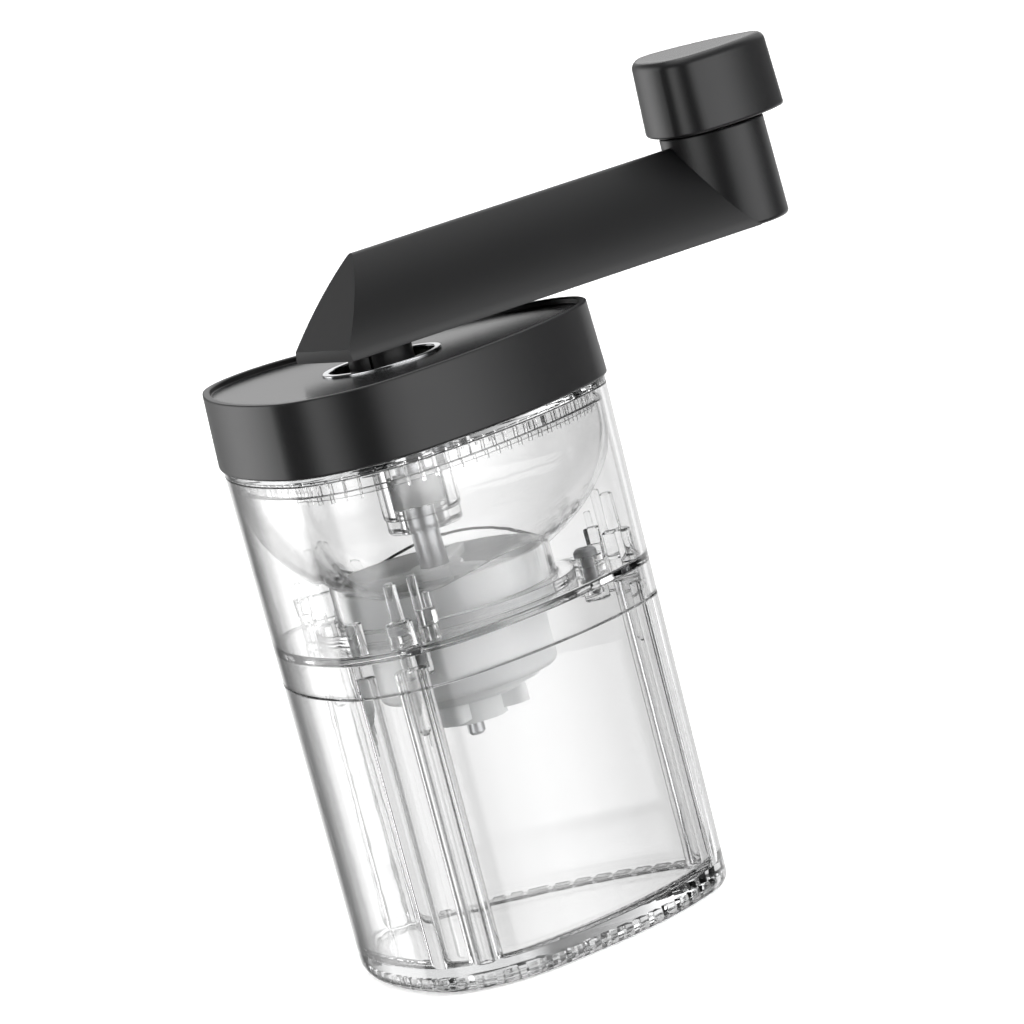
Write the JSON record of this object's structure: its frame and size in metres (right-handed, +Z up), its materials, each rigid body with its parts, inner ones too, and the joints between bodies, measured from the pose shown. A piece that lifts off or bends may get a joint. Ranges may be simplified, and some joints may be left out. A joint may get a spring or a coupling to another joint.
{
  "type": "manual coffee grinder",
  "caption": "Hand grinder for coffee with a clear rounded-triangle body, a black lid, a conical ceramic burr set with a stepless grind nut, and a black crank with a turning knob.",
  "frame": {"origin": "centre of the container's foot, on the crank shaft's axis, where the grinder stands", "axes": "+Z up along the crank shaft; +X towards one corner of the rounded-triangle plan, with the crank at rest 14.6 degrees from it towards +Y; +Y by the right-hand rule"},
  "size_m": [0.1579, 0.0942, 0.1863],
  "materials": {
    "clear_plastic": "clear moulded plastic, polished",
    "black_plastic": "satin black moulded plastic",
    "pale_plastic": "pale grey moulded plastic",
    "ceramic": "fired white ceramic",
    "steel": "plain stainless steel",
    "chrome": "bright plating"
  },
  "bodies": {
    "container": {"container": "clear_plastic"},
    "upper": {"upper_body": "clear_plastic", "hopper_bowl": "clear_plastic", "bowl_screws": "steel", "burr_holder": "pale_plastic", "outer_burr": "ceramic"},
    "lid": {"lid_cover": "black_plastic", "inner_lid": "clear_plastic", "lid_ring": "chrome", "shaft_bush": "pale_plastic", "bush_cap": "clear_plastic", "lid_screws": "steel"},
    "drive": {"drive_shaft": "steel", "spring_washer": "steel", "shaft_clip": "steel", "burr_spring": "steel"},
    "burr": {"inner_burr": "ceramic", "burr_carrier": "pale_plastic"},
    "nut": {"adjust_nut": "pale_plastic"},
    "crank": {"crank_arm": "black_plastic", "crank_hub": "steel", "hub_screw": "steel", "knob_pin": "steel", "knob_washer": "steel"},
    "knob": {"knob": "black_plastic"}
  },
  "joints": [
    {"name": "upper_lift", "type": "slide", "parent": "container", "child": "upper", "axis": [0, 0, 1], "range_m": [0, 0.05]},
    {"name": "lid_lift", "type": "slide", "parent": "upper", "child": "lid", "axis": [0, 0, 1], "range_m": [0, 0.05]},
    {"name": "crank_turn", "type": "hinge", "parent": "upper", "child": "drive", "pos_m": [0, 0, 0.1], "axis": [0, 0, 1], "continuous": true},
    {"name": "crank_lift", "type": "slide", "parent": "drive", "child": "crank", "axis": [0, 0, 1], "range_m": [0, 0.05]},
    {"name": "burr_slide", "type": "slide", "parent": "drive", "child": "burr", "axis": [0, 0, 1], "range_m": [0, 0.002], "deforming": ["burr_spring"]},
    {"name": "adjust_turn", "type": "hinge", "parent": "burr", "child": "nut", "pos_m": [0, 0, 0.056], "axis": [0, 0, 1], "range_deg": [0, 900]},
    {"name": "knob_spin", "type": "hinge", "parent": "crank", "child": "knob", "pos_m": [0.09871, 0.02571, 0.178], "axis": [0, 0, 1], "continuous": true}
  ],
  "couplings": [
    {"joint": "adjust_turn", "follows": "burr_slide", "rad_per_m": 7854},
    {"joint": "crank_lift", "follows": "lid_lift", "ratio": 1}
  ]
}
